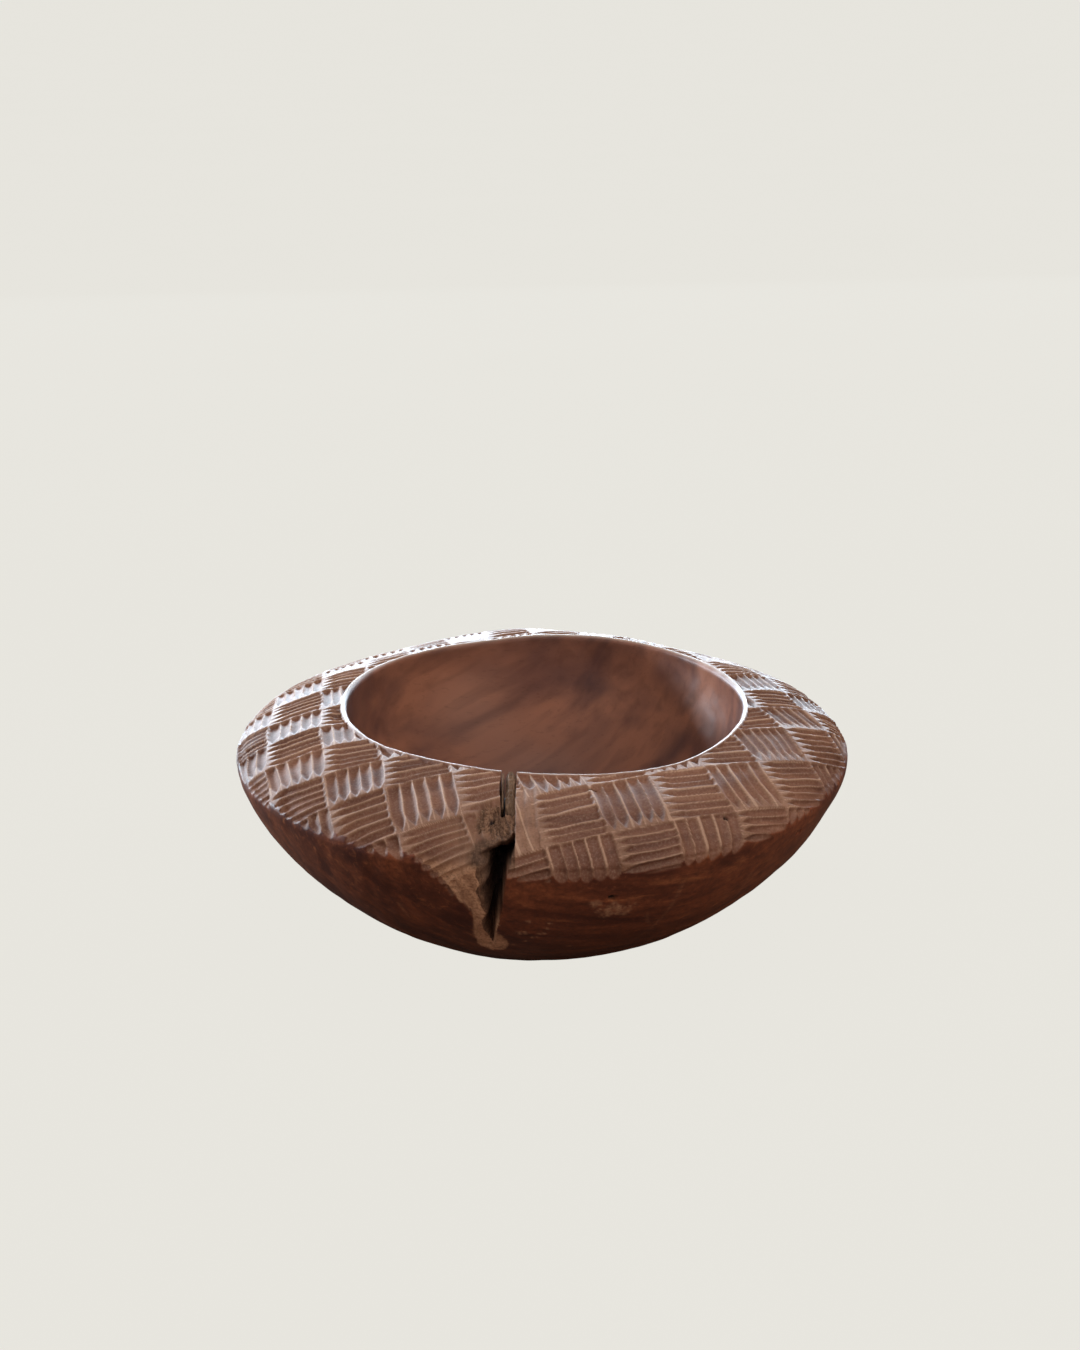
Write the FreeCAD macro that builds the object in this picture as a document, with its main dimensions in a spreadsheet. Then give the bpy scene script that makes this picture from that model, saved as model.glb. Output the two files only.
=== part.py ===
"""Carved wooden bowl: a thick block-carved bowl, its split, and the loose wood standing in the split.

Frame: origin at the centre of the foot's underside, +Z up, the split faces -Y. Millimetres.
"""
import FreeCAD, Part
import os
import Sketcher
from FreeCAD import Placement, Rotation, Vector

# Driving dimensions. The bowl body is a turned outline with an elliptical hollow.
SIZES = {
    "OuterRadius": 150.0,
    "BowlHeight": 110.0,
    "ShoulderHeight": 87.0,
    "FootRadius": 52.0,
    "OpeningHalfWidth": 97.5,
    "OpeningHalfDepth": 94.5,
    "OpeningShift": 1.0,
    "HollowDepth": 86.0,
    "RimFlatRadius": 101.5,
    "LipRounding": 2.4,
    # How far each curve handle reaches along its side of the outline.
    "RimTopHandle": 14.3,
    "RimSideHandle": 9.5,
    "BellySideHandle": 30.7,
    "BellyFootHandle": 35.5,
    # The split runs along Y near the front. Its right wall is straight, and its left wall slopes.
    "SplitRightWall": 11.5,
    "SplitLeftReach": 29.0,
    "SlotWidth": 7.0,
    "SlotFloorHeight": 96.5,
    "SlotInnerEnd": 84.0,
    "SlotOuterEnd": 124.0,
    # The dead wood strip and the splinter stand on the slot's floor.
    "StripThickness": 4.6,
    "SplinterThickness": 1.0,
    "SplinterGap": 0.8,
}

# Outline of the void, as (distance to the front, height), on the split's right wall...
VOID_DEEP = [(121, 114), (120, 92), (123, 72), (126, 58), (120, 46),
             (106, 32), (98, 20), (100, 10), (165, 10), (165, 114)]
# ...and at its left reach, where the sloping wall has come out through the surface.
VOID_SHALLOW = [(126, 114), (136, 100), (149.5, 84), (158, 64), (150, 38),
                (128, 18), (112, 8), (112, 6), (166, 6), (166, 114)]
# Upper edges of the loose pieces, from the outer end inwards, as (distance to the front,
# height above the slot's floor).
STRIP_TOP = [(119.5, 8.2), (108, 10.9), (99, 11.9), (93.5, 10.4), (91.5, 6.5)]
SPLINTER_TOP = [(115, 6.5), (107, 9.6), (98, 11.2), (94.5, 9.5), (94, 5.0)]


def make_sheet(doc):
    """The spreadsheet that holds every driving dimension."""
    sheet = doc.addObject("Spreadsheet::Sheet", "Sizes")
    for row, (name, value) in enumerate(SIZES.items(), start=1):
        sheet.set(f"A{row}", name)
        sheet.set(f"B{row}", str(value))
        sheet.setAlias(f"B{row}", name)
    doc.recompute()


def new_body(doc, name):
    """A body whose label names the piece and its file."""
    body = doc.addObject("PartDesign::Body", name)
    body.Label = name
    body.Placement = Placement()
    return body


def new_sketch(body, name, role, offset=None):
    """A sketch on one of the body's origin planes, moved along its normal by an expression."""
    plane = next(p for p in body.Origin.OriginFeatures if p.Role == role)
    sketch = body.newObject("Sketcher::SketchObject", name)
    sketch.AttachmentSupport = [(plane, "")]
    sketch.MapMode = "FlatFace"
    if offset:
        sketch.setExpression("AttachmentOffset.Base.z", offset)
    return sketch


def hold_point(sketch, geo, end, across, up):
    """Fix one point of a sketch by two dimensions, each a number or an expression."""
    for kind, value in (("DistanceX", across), ("DistanceY", up)):
        number = 0.0 if isinstance(value, str) else value
        index = sketch.addConstraint(Sketcher.Constraint(kind, -1, 1, geo, end, number))
        if isinstance(value, str):
            sketch.setExpression(f"Constraints[{index}]", value)


def closed_polygon(sketch, corners):
    """Straight edges through the corners, each corner held by its own two dimensions."""
    count = len(corners)
    for i in range(count):
        start = Vector(*corners[i], 0)
        end = Vector(*corners[(i + 1) % count], 0)
        sketch.addGeometry(Part.LineSegment(start, end))
    for i in range(count):
        sketch.addConstraint(Sketcher.Constraint("Coincident", i, 2, (i + 1) % count, 1))
        hold_point(sketch, i, 1, *corners[i])


def add_curve(sketch, poles, held):
    """A cubic curve with four handles; held gives each handle's two expressions."""
    curve = Part.BSplineCurve()
    curve.buildFromPolesMultsKnots([Vector(*p, 0) for p in poles], [4, 4], [0, 1], False, 3)
    geo = sketch.addGeometry(curve)
    sketch.exposeInternalGeometry(geo)
    for i, (across, up) in enumerate(held):
        hold_point(sketch, geo + 1 + i, 3, across, up)
    return geo


def bowl_outline(body):
    """Half section of the solid block: foot, belly, shoulder, rim and flat top."""
    sketch = new_sketch(body, "Outline", "XZ_Plane")
    top = SIZES["BowlHeight"]
    side = SIZES["OuterRadius"]
    shoulder = SIZES["ShoulderHeight"]
    foot = SIZES["FootRadius"]
    flat = SIZES["RimFlatRadius"]
    foot_edge = sketch.addGeometry(Part.LineSegment(Vector(0, 0, 0), Vector(foot, 0, 0)))
    belly = add_curve(
        sketch,
        [(foot, 0), (foot + 35, 0), (side, shoulder - 30), (side, shoulder)],
        [("Sizes.FootRadius", 0), ("Sizes.FootRadius + Sizes.BellyFootHandle", 0),
         ("Sizes.OuterRadius", "Sizes.ShoulderHeight - Sizes.BellySideHandle"),
         ("Sizes.OuterRadius", "Sizes.ShoulderHeight")])
    rim = add_curve(
        sketch,
        [(side, shoulder), (side, shoulder + 9), (flat + 15, top), (flat, top)],
        [("Sizes.OuterRadius", "Sizes.ShoulderHeight"),
         ("Sizes.OuterRadius", "Sizes.ShoulderHeight + Sizes.RimSideHandle"),
         ("Sizes.RimFlatRadius + Sizes.RimTopHandle", "Sizes.BowlHeight"),
         ("Sizes.RimFlatRadius", "Sizes.BowlHeight")])
    top_edge = sketch.addGeometry(Part.LineSegment(Vector(flat, top, 0), Vector(0, top, 0)))
    axis_edge = sketch.addGeometry(Part.LineSegment(Vector(0, top, 0), Vector(0, 0, 0)))
    for first, end, second, start in ((foot_edge, 2, belly, 1), (rim, 2, top_edge, 1),
                                      (top_edge, 2, axis_edge, 1), (axis_edge, 2, foot_edge, 1)):
        sketch.addConstraint(Sketcher.Constraint("Coincident", first, end, second, start))
    hold_point(sketch, foot_edge, 1, 0, 0)
    sketch.addConstraint(Sketcher.Constraint("Vertical", axis_edge))
    sketch.addConstraint(Sketcher.Constraint("Horizontal", top_edge))
    return sketch


def turn_block(body):
    """The solid block, turned from its half section."""
    sketch = bowl_outline(body)
    block = body.newObject("PartDesign::Revolution", "Block")
    block.Profile = sketch
    block.ReferenceAxis = (sketch, ["V_Axis"])
    block.Angle = 360.0
    return block


def cut_hollow(body):
    """The inside of the bowl: half of an ellipsoid, a little shorter front to back."""
    hollow = body.newObject("PartDesign::SubtractiveEllipsoid", "Hollow")
    hollow.setExpression("Radius1", "Sizes.HollowDepth")
    hollow.setExpression("Radius2", "Sizes.OpeningHalfWidth")
    hollow.setExpression("Radius3", "Sizes.OpeningHalfDepth")
    hollow.setExpression("Placement.Base.x", "Sizes.OpeningShift")
    hollow.setExpression("Placement.Base.z", "Sizes.BowlHeight")
    return hollow


def lip_edge(shape):
    """Name of the edge where the hollow meets the flat top."""
    top = SIZES["BowlHeight"]
    right_end = SIZES["OpeningHalfWidth"] + SIZES["OpeningShift"]
    for i, edge in enumerate(shape.Edges, start=1):
        box = edge.BoundBox
        if box.ZMin > top - 0.01 and abs(box.XMax - right_end) < 0.5:
            return f"Edge{i}"
    raise RuntimeError("the lip's edge was not found")


def round_lip(body, base):
    """The rounded edge of the opening."""
    lip = body.newObject("PartDesign::Fillet", "Lip")
    lip.Base = (base, [lip_edge(base.Shape)])
    lip.setExpression("Radius", "Sizes.LipRounding")
    return lip


def cut_slot(body):
    """The upper end of the split: a straight-sided slot through the lip and the rim."""
    sketch = new_sketch(body, "SlotPlan", "XY_Plane", "Sizes.SlotFloorHeight")
    right = -SIZES["SplitRightWall"]
    left = right - SIZES["SlotWidth"]
    inner = -SIZES["SlotInnerEnd"]
    outer = -SIZES["SlotOuterEnd"]
    closed_polygon(sketch, [(right, inner), (left, inner), (left, outer), (right, outer)])
    slot = body.newObject("PartDesign::Pocket", "Slot")
    slot.Profile = sketch
    slot.Reversed = True
    slot.Refine = False
    slot.setExpression("Length", "Sizes.BowlHeight - Sizes.SlotFloorHeight + 1")
    return slot


def cut_void(body):
    """The open rot hollow under the slot, deep at its right wall and sloping out to the left."""
    sections = []
    for name, offset, outline in (("VoidDeep", "-Sizes.SplitRightWall", VOID_DEEP),
                                  ("VoidShallow", "-Sizes.SplitLeftReach", VOID_SHALLOW)):
        sketch = new_sketch(body, name, "YZ_Plane", offset)
        closed_polygon(sketch, [(-front, up) for front, up in outline])
        sections.append(sketch)
    void = body.newObject("PartDesign::SubtractiveLoft", "Void")
    void.Profile = sections[0]
    void.Sections = [sections[1]]
    void.Ruled = True
    void.Refine = False
    return void


def make_bowl(doc):
    """The carved bowl itself, in one piece of wood."""
    body = new_body(doc, "bowl_body")
    steps = [turn_block(body)]
    doc.recompute()
    steps.append(cut_hollow(body))
    doc.recompute()
    steps.append(round_lip(body, steps[-1]))
    doc.recompute()
    for cut in (cut_slot, cut_void):
        steps.append(cut(body))
        doc.recompute()
    volumes = [step.Shape.Volume for step in steps]
    if any(after >= before for before, after in zip(volumes, volumes[1:])):
        raise RuntimeError(f"a cut removed nothing: {volumes}")
    return body


def make_upright_piece(doc, name, top, right_face, thickness):
    """A flat piece of wood standing on the slot's floor, as thick as the named size."""
    body = new_body(doc, name)
    floor = SIZES["SlotFloorHeight"]
    sketch = new_sketch(body, name + "_side", "YZ_Plane", right_face)
    corners = [(-top[0][0], floor)] + [(-front, floor + up) for front, up in top]
    corners.append((-top[-1][0], floor))
    closed_polygon(sketch, corners)
    pad = body.newObject("PartDesign::Pad", name + "_pad")
    pad.Profile = sketch
    pad.Reversed = True
    pad.setExpression("Length", thickness)
    doc.recompute()
    return body


def check_document(doc, pieces):
    """Stop if any object failed, or if a piece is not one sound solid."""
    for item in doc.Objects:
        if "Invalid" in item.State or "Error" in item.State:
            raise RuntimeError(f"{item.Name} failed: {item.State}")
    for piece in pieces:
        shape = piece.Shape
        if shape.isNull() or not shape.isValid() or len(shape.Solids) != 1:
            raise RuntimeError(f"{piece.Label} is not one sound solid")


def main():
    doc = FreeCAD.newDocument("CarvedBowl")
    make_sheet(doc)
    strip_face = "-Sizes.SplitRightWall"
    splinter_face = "-Sizes.SplitRightWall - Sizes.StripThickness - Sizes.SplinterGap"
    pieces = [
        make_bowl(doc),
        make_upright_piece(doc, "dead_wood_strip", STRIP_TOP, strip_face, "Sizes.StripThickness"),
        make_upright_piece(doc, "loose_splinter", SPLINTER_TOP, splinter_face,
                           "Sizes.SplinterThickness"),
    ]
    doc.recompute()
    check_document(doc, pieces)
    os.makedirs("parts", exist_ok=True)
    for piece in pieces:
        box = piece.Shape.BoundBox
        print(piece.Label, round(piece.Shape.Volume), [round(v, 2) for v in (
            box.XMin, box.XMax, box.YMin, box.YMax, box.ZMin, box.ZMax)])
        piece.Shape.exportStep(f"parts/{piece.Label}.step")


main()
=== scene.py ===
"""Looks of the carved wooden bowl: polished hollow, gouged basket-weave band, split and loose wood.

Lengths inside the shape functions are millimetres, and meshes are made in metres.
Angles run anticlockwise from +X seen from above, and the front of the bowl is -Y.
"below" is how far a point lies below the shoulder along the outline, negative on the rim, and
"place" is how far it lies from the lip.
"""
import math
import bpy
import numpy as np
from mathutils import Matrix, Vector


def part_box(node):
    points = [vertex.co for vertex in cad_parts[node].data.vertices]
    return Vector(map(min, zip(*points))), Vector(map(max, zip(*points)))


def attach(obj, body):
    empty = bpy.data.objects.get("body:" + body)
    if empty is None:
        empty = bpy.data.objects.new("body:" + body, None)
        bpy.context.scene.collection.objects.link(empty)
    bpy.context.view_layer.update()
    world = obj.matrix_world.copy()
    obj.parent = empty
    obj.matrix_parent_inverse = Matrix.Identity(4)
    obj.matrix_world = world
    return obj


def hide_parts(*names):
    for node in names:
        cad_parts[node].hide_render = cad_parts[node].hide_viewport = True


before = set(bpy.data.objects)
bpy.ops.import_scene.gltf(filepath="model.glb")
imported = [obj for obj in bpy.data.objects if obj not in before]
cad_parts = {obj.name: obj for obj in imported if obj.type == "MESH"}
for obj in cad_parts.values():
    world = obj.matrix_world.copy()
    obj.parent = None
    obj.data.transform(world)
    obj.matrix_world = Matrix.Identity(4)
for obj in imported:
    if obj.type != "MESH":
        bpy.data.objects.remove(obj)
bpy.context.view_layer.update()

MM = 0.001
random = np.random.default_rng(41)

# ---------------------------------------------------------------- main sizes, from the frame
# The even shape stays a little inside the CAD body, to leave room for the hand-cut waves.
SIDE_MARGIN = 0.3
TOP_MARGIN = 0.2
body_low, body_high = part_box("bowl_body")
OUTER = (body_high[0] - body_low[0]) / 2 / MM - SIDE_MARGIN
HEIGHT = body_high[2] / MM - TOP_MARGIN
SHOULDER = 87.0
FOOT = 52.0
OPENING_X = 96.6
OPENING_Y = 94.5
OPENING_SHIFT = 1.0
HOLLOW = 86.0
LIP = 2.4
RIM_POWER = 2 / 1.595
BELLY_POWER = 2 / 1.536
LIP_TO_SHOULDER = 60

# ---------------------------------------------------------------- mesh density
COLUMNS = 1824
# Distances between rows, from the carved band to the foot and the floor of the hollow.
RIM_STEP = 0.5
LIP_STEP = 0.7
WALL_STEP = 1.3
BELLY_STEP = 1.1
COARSE_STEP = 2.6
SPLIT_ANGLE = math.radians(-98)
STRAIGHT_RADIUS = 125
SLAB_RINGS = 120

# ---------------------------------------------------------------- weave layout, seen from above
COLUMN_LINES = [-187, -159.5, -133, -107.6, -83.2, -57, -31, -6, 20.8, 48.7, 75, 104.5, 134, 165, 197]
FIRST_COLUMN = -2
ROW_LINES = [186, 159, 132, 105, 78, 51, 24, 0, -25, -49, -74, -108, -143, -178]
FIRST_ROW = -6
# The columns spread apart towards the back, and the rows lean and bow from left to right.
COLUMN_ORIGIN = 192
COLUMN_SPREAD = 0.0013
ROW_LEAN = 0.35
ROW_BOW = 0.00075
# From this line on, in millimetres below the shoulder, the pattern keeps its size along the wood.
DOME_LINE = -23.5
DOME_RADIUS = 131.5
DOME_STRETCH = 0.98
# How far the pattern slides back for each millimetre that the rim stands higher.
SLIDE_PER_RISE = 2.35
FLUTE_WIDTH = 5.3
GOUGE_RADIUS = 2.3
FLUTE_DEPTH = 1.75
TAPER_START = 0.70
BAND_RECESS = 0.35

# ---------------------------------------------------------------- uneven hand carving
# (direction in degrees, millimetres): how far the lip, and the crest of the rim, stand off the
# even shape, and how far the belly is cut back.
LIP_LIFT = [(-180, 0), (-125, 1.4), (-96, 1.0), (-75, -0.8), (-52, -3.0), (-25, -0.6), (30, 0),
            (60, 1.3), (88, 1.0), (112, -1.0), (140, 0), (180, 0)]
CREST_LIFT = [(-180, -0.5), (-120, 0.5), (-90, 0), (-52, -1), (0, 0), (25, -0.8), (42, -3.2),
              (66, -3.2), (80, -2.0), (91, 1.2), (98, 1.5), (112, -0.8), (134, -3.6), (152, -1.5),
              (180, -0.5)]
BELLY_CUT = [(-180, 0.3), (-140, 1.6), (-118, 0.2), (-100, -0.5), (-80, 1.0), (-45, 2.3),
             (-12, 2.4), (12, 0), (90, 0), (180, 0.3)]

# ---------------------------------------------------------------- split
WALL_X = -11.5
SLOT_LEFT = -18.5
SLOT_FLOOR = 96.5
SLOT_END = 124.0
# The Y and Z of the line that the rot hollow deepens towards.
VOID_CENTRE = (-113.0, 84.0)
# How far from the lip the rot hollow starts at its right wall, and how much later on its left.
VOID_TOP = 39
VOID_TOP_SLOPE = 11
# The rot hollow along the outline, by millimetres from the lip: how wide and deep it is, and how
# far its right wall has moved to the left.
VOID_PLACE = [38, 42, 46, 53, 64, 76, 85, 98, 108, 116]
VOID_WIDTH = [0, 7, 12, 15.5, 13.5, 10.5, 8.5, 6, 3.2, 0]
VOID_DEPTH = [0, 10, 20, 25, 25, 21, 17, 12, 7, 0]
VOID_DRIFT = [0, 0, 0.2, 1.3, 4.0, 5.2, 6.0, 8.0, 9.2, 10]
# How wide the bare wood along the left of the rot hollow is, by millimetres from the lip.
BARE_PLACE = [44, 60, 76, 85, 98, 108, 120, 130]
BARE_WIDTH = [1, 4, 5, 4, 5, 7, 8, 0]
# The middle of the dead wood that fans out left of the hollow, and how far it reaches.
FAN_CENTRE = (-19, -127)
FAN_RADIUS = 13
# How far below the shoulder the carved band ends: (direction in degrees, millimetres), and just
# left of the split (X, millimetres).
BAND_EDGE = [(-180, -4), (-150, -4), (-122, -4.5), (-111, -4), (-95, 1.5), (-78, 1), (-60, 0),
             (-48, -2.5), (-36, -4.5), (-24, -5.5), (0, -4.5), (60, -4), (120, -4), (180, -4)]
BARE_EDGE = [(-56, -4), (-50, 0), (-45, 6), (-41, 10), (-38, 14), (-36, 18), (-33, 23), (-31, 26),
             (-29, 38), (-27.7, 48), (-26, 60), (-10, 64)]
BARE_LEFT = BARE_EDGE[0][0]
# The tops of the two loose pieces: (millimetres towards the front, height over the slot's floor).
STRIP_TOP = [(119.5, 9.0), (112, 11.2), (104, 13.3), (97, 14.5), (94.2, 13.9), (92.6, 11.6), (92.2, 7)]
SPLINTER_TOP = [(117, 7.5), (110, 10.8), (102, 13.0), (96.5, 14.0), (94.6, 13.0), (93.4, 8.0)]

# ---------------------------------------------------------------- small marks
# Chips are small dents, a worm hole among them, and their darkness is painted shade.
CHIP_DEPTH = 1.6
# (direction in degrees, millimetres from the lip, half width, half length)
CHIPS = [(-99.7, 34, 0.8, 2.6), (-78, 76.5, 1.5, 1.7), (-54.4, 45, 2.0, 1.1), (-78.8, 12.7, 2.0, 1.0),
         (-38, 68, 2.4, 1.2)]
PALE_MARKS = [(-77, 86, 7.5, 5.0), (-80.5, 80, 3.0, 2.5), (-94, 103, 3.2, 1.6), (-91.5, 108, 2.0, 1.2),
              (-98.2, 96, 1.6, 1.0), (-89, 99, 1.4, 0.9), (-96, 118, 1.3, 0.9), (-84, 122, 1.5, 1.0),
              (-92.5, 92, 1.2, 1.0), (-90, 104, 2.6, 1.1), (-88.5, 94, 1.0, 0.8), (-93, 112, 1.6, 0.9)]
# (direction in degrees, first and last millimetre from the lip, bow in radians)
SCRATCHES = [(-65, 70, 127, -0.075), (-117, 88, 102, 0.01), (-70, 92, 104, 0.03), (-48, 80, 112, 0.05)]

# ---------------------------------------------------------------- wood
# How the grain is turned, in radians, in the block and where the hollow cuts across it.
GRAIN = (0.25, 0.12, 0.32)
HOLLOW_GRAIN = (0.10, -0.30, 0.55)


def smooth(low, high, value):
    """0 below low, 1 above high, and an even S between them."""
    t = np.clip((value - low) / (high - low), 0, 1)
    return t * t * (3 - 2 * t)


def ripple(x, y, z, size, seed, octaves=3):
    """Cheap smooth noise from a few turned sine waves, about -1 to 1."""
    picks = np.random.default_rng(seed)
    total = np.zeros_like(x)
    weight = 0
    for octave in range(octaves):
        for _ in range(5):
            way = picks.normal(size=3)
            way *= 2 * math.pi / (size * picks.uniform(0.8, 1.6)) / np.linalg.norm(way)
            total += np.sin(x * way[0] + y * way[1] + z * way[2] + picks.uniform(0, 7)) / 2 ** octave
        weight += 2.2 / 2 ** octave
        size /= 2.1
    return total / weight


def by_direction(table, angle):
    """A smooth value by direction from a few (degrees, value) pairs."""
    turn, value = zip(*table)
    degrees = np.degrees(angle)
    degrees = (degrees + 180) % 360 - 180
    return sum(np.interp((degrees + off + 180) % 360 - 180, turn, value) for off in (-6, 0, 6)) / 3


# ---------------------------------------------------------------- outline rows
def even_rows(points, step):
    """Places along a curve, given by many points, that are step apart."""
    gaps = np.hypot(*np.diff(points, axis=0).T)
    along = np.concatenate([[0], np.cumsum(gaps)])
    count = max(2, int(round(along[-1] / step)) + 1)
    return np.interp(np.linspace(0, along[-1], count), along, np.linspace(0, 1, len(points)))


def hollow_point(t, opening):
    """The inside wall, from the floor's centre (t = 0) to just under the lip (t = 1)."""
    turn = t * math.acos(LIP / HOLLOW)
    return opening * np.sin(turn), HEIGHT - HOLLOW * np.cos(turn)


def lip_point(t, opening):
    """The rounded lip, from the wall to the rim's top."""
    turn = math.pi - t * math.pi / 2
    return opening + LIP + LIP * np.cos(turn), HEIGHT - LIP + LIP * np.sin(turn)


def rim_point(t, opening):
    """The domed rim, from the lip to the shoulder."""
    turn = t * math.pi / 2
    start = opening + LIP
    return (start + (OUTER - start) * np.sin(turn) ** RIM_POWER,
            SHOULDER + (HEIGHT - SHOULDER) * np.cos(turn) ** RIM_POWER)


def belly_point(t, opening):
    """The underside, from the shoulder to the foot's edge."""
    turn = t * math.pi / 2
    return (FOOT + (OUTER - FOOT) * np.cos(turn) ** BELLY_POWER + 0 * opening,
            SHOULDER * (1 - np.sin(turn) ** BELLY_POWER) + 0 * opening)


def foot_point(t, opening):
    """The flat foot, from its edge to its centre, a little hollow."""
    return FOOT * (1 - t) + 0 * opening, 0.6 * smooth(0.06, 0.5, t) + 0 * opening


def outline_rows():
    """Every row as (curve, place on it, column stride), from the hollow's centre to the foot's."""
    many = np.linspace(0, 1, 3000)
    typical = 95.0

    def spread(curve, step, low=0.0, high=1.0):
        """Places on part of a curve that are step apart."""
        span = low + (high - low) * many
        points = np.stack(curve(span, typical), axis=1)
        return low + (high - low) * even_rows(points, step)

    rows = [(hollow_point, t, 4) for t in spread(hollow_point, COARSE_STEP, 0.008, 0.86)]
    rows += [(hollow_point, t, 2) for t in spread(hollow_point, WALL_STEP, 0.86, 0.97)[1:]]
    rows += [(hollow_point, t, 1) for t in spread(hollow_point, LIP_STEP, 0.97, 1.0)[1:-1]]
    rows += [(lip_point, t, 1) for t in np.linspace(0, 1, 9)]
    rows += [(rim_point, t, 1) for t in spread(rim_point, RIM_STEP)[1:]]
    # The band runs out on the first part of the belly, so its rows are as close as on the rim.
    fine = 0.155
    rows += [(belly_point, t, 1) for t in spread(belly_point, RIM_STEP, 0.0, fine)[1:]]
    rows += [(belly_point, t, 2) for t in spread(belly_point, BELLY_STEP, fine, 0.72)[1:]]
    rows += [(belly_point, t, 4) for t in spread(belly_point, COARSE_STEP, 0.72, 1.0)[1:]]
    rows += [(foot_point, t, 4) for t in np.linspace(0, 0.985, 22)[1:]]
    return rows


def rows_on(rows, curves):
    """Which points of the grid are on any of the curves."""
    return np.array([curve in curves for curve, _, _ in rows])[:, None] & np.ones((1, COLUMNS), bool)


def column_angles():
    """Angles of the columns, closer together at the split."""
    turn = np.linspace(SPLIT_ANGLE - math.pi, SPLIT_ANGLE + math.pi, 20001)
    crowd = 1 + 1.5 * np.exp(-((turn - SPLIT_ANGLE) / math.radians(9)) ** 2)
    share = np.concatenate([[0], np.cumsum((crowd[1:] + crowd[:-1]) / 2)])
    return np.interp(np.arange(COLUMNS) / COLUMNS * share[-1], share, turn)


def bowl_grid(rows):
    """The bowl before carving: x, y, z, radius, direction, how far below the shoulder, and lift."""
    angle = column_angles()
    opening = 1 / np.hypot(np.cos(angle) / OPENING_X, np.sin(angle) / OPENING_Y)
    radius = np.empty((len(rows), COLUMNS))
    z = np.empty_like(radius)
    for i, (curve, t, _) in enumerate(rows):
        radius[i], z[i] = curve(t, opening)
    shoulder_row = max(i for i, (curve, _, _) in enumerate(rows) if curve is rim_point)
    radius = ease_shoulder(radius, shoulder_row)
    z = ease_shoulder(z, shoulder_row)
    outside = ~rows_on(rows, [hollow_point])
    underside = rows_on(rows, [belly_point, foot_point])
    turned = straighten_columns(angle, radius, outside)

    cut = by_direction(BELLY_CUT, turned) * smooth(SHOULDER + 6, SHOULDER - 20, z)
    radius = radius - np.where(underside | (radius > 135), cut * smooth(FOOT, 90, radius), 0)
    lift = uneven_lift(turned, radius, z, outside, underside)
    z = z + lift
    shift = OPENING_SHIFT * (1 - smooth(98, 140, radius)) * ~underside
    x = radius * np.cos(turned) + shift
    y = radius * np.sin(turned)
    steps = np.hypot(np.diff(radius[:, 0]), np.diff(z[:, 0]))
    along = np.concatenate([[0], np.cumsum(steps)])
    below = np.repeat((along - along[shoulder_row])[:, None], COLUMNS, axis=1)
    return x, y, z, radius, turned, below, lift


def straighten_columns(angle, radius, outside):
    """Directions of the points. Near the split the columns run straight, along Y, as its walls do."""
    pull = np.where(outside, smooth(60, 92, radius), smooth(78, 92, radius))
    away = np.abs(angle - SPLIT_ANGLE)
    pull = pull * (1 - smooth(math.radians(9), math.radians(26), away))
    straight_x = STRAIGHT_RADIUS * np.cos(angle)
    straight = -np.arccos(np.clip(straight_x / np.maximum(radius, 1), -1, 1))
    return angle + pull * (straight - angle)


def uneven_lift(angle, radius, z, outside, underside):
    """How far the lip and the crest of the rim stand off the even shape."""
    near_lip = np.where(outside, 1 - smooth(100, 128, radius), smooth(70, 104, z))
    crest = smooth(99, 121, radius) * (1 - smooth(133, 149, radius)) * outside
    lift = by_direction(LIP_LIFT, angle) * near_lip + by_direction(CREST_LIFT, angle) * crest
    return lift * ~underside


def ease_shoulder(values, row):
    """Rounds the shoulder off a little by averaging the rows around it."""
    reach = 16
    half = 5
    eased = values.copy()
    for i in range(row - reach, row + reach):
        width = int(round(half * (1 - abs(i - row) / reach)))
        eased[i] = values[i - width:i + width + 1].mean(axis=0)
    return eased


def outward(x, y, z):
    """Unit normals of the grid."""
    grid = np.stack([x, y, z], axis=2)
    down = np.gradient(grid, axis=0)
    around = np.roll(grid, -1, axis=1) - np.roll(grid, 1, axis=1)
    normal = np.cross(down, around)
    return normal / np.maximum(np.linalg.norm(normal, axis=2, keepdims=True), 1e-9)


# ---------------------------------------------------------------- carved weave
def weave_place(x, y, z, radius, below, lift):
    """Where each point lies on the flat weave pattern: across its columns, and back over its rows."""
    unrolled = DOME_RADIUS + DOME_STRETCH * (below - DOME_LINE)
    stretch = np.where(below > DOME_LINE, unrolled, radius) / np.maximum(radius, 1)
    dome = 1 - smooth(-30, 0, below)
    fore = (1 - 0.5 * smooth(-20, 0, below)) * (1 - smooth(10, 80, y))
    px, py = x * stretch, y * stretch + SLIDE_PER_RISE * (lift + 2 * dome) * fore
    px = px + 0.7 * ripple(x, y, z, 45, 5) + 0.10 * ripple(x, y, z, 11, 6)
    py = py + 0.7 * ripple(x, y, z, 45, 7) + 0.10 * ripple(x, y, z, 11, 8)
    across = (px + COLUMN_ORIGIN) * np.exp(COLUMN_SPREAD * py) - COLUMN_ORIGIN
    back = py - (ROW_LEAN * px + ROW_BOW * px * px)
    return across, back


def find_gap(values, lines):
    """Which gap between the lines each value is in, how far across it, and how wide the gap is."""
    lines = np.array(lines, float)
    at = np.interp(values, lines, np.arange(len(lines)))
    gap = np.clip(np.floor(at), 0, len(lines) - 2).astype(int)
    return gap, at - gap, np.diff(lines)[gap]


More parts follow.
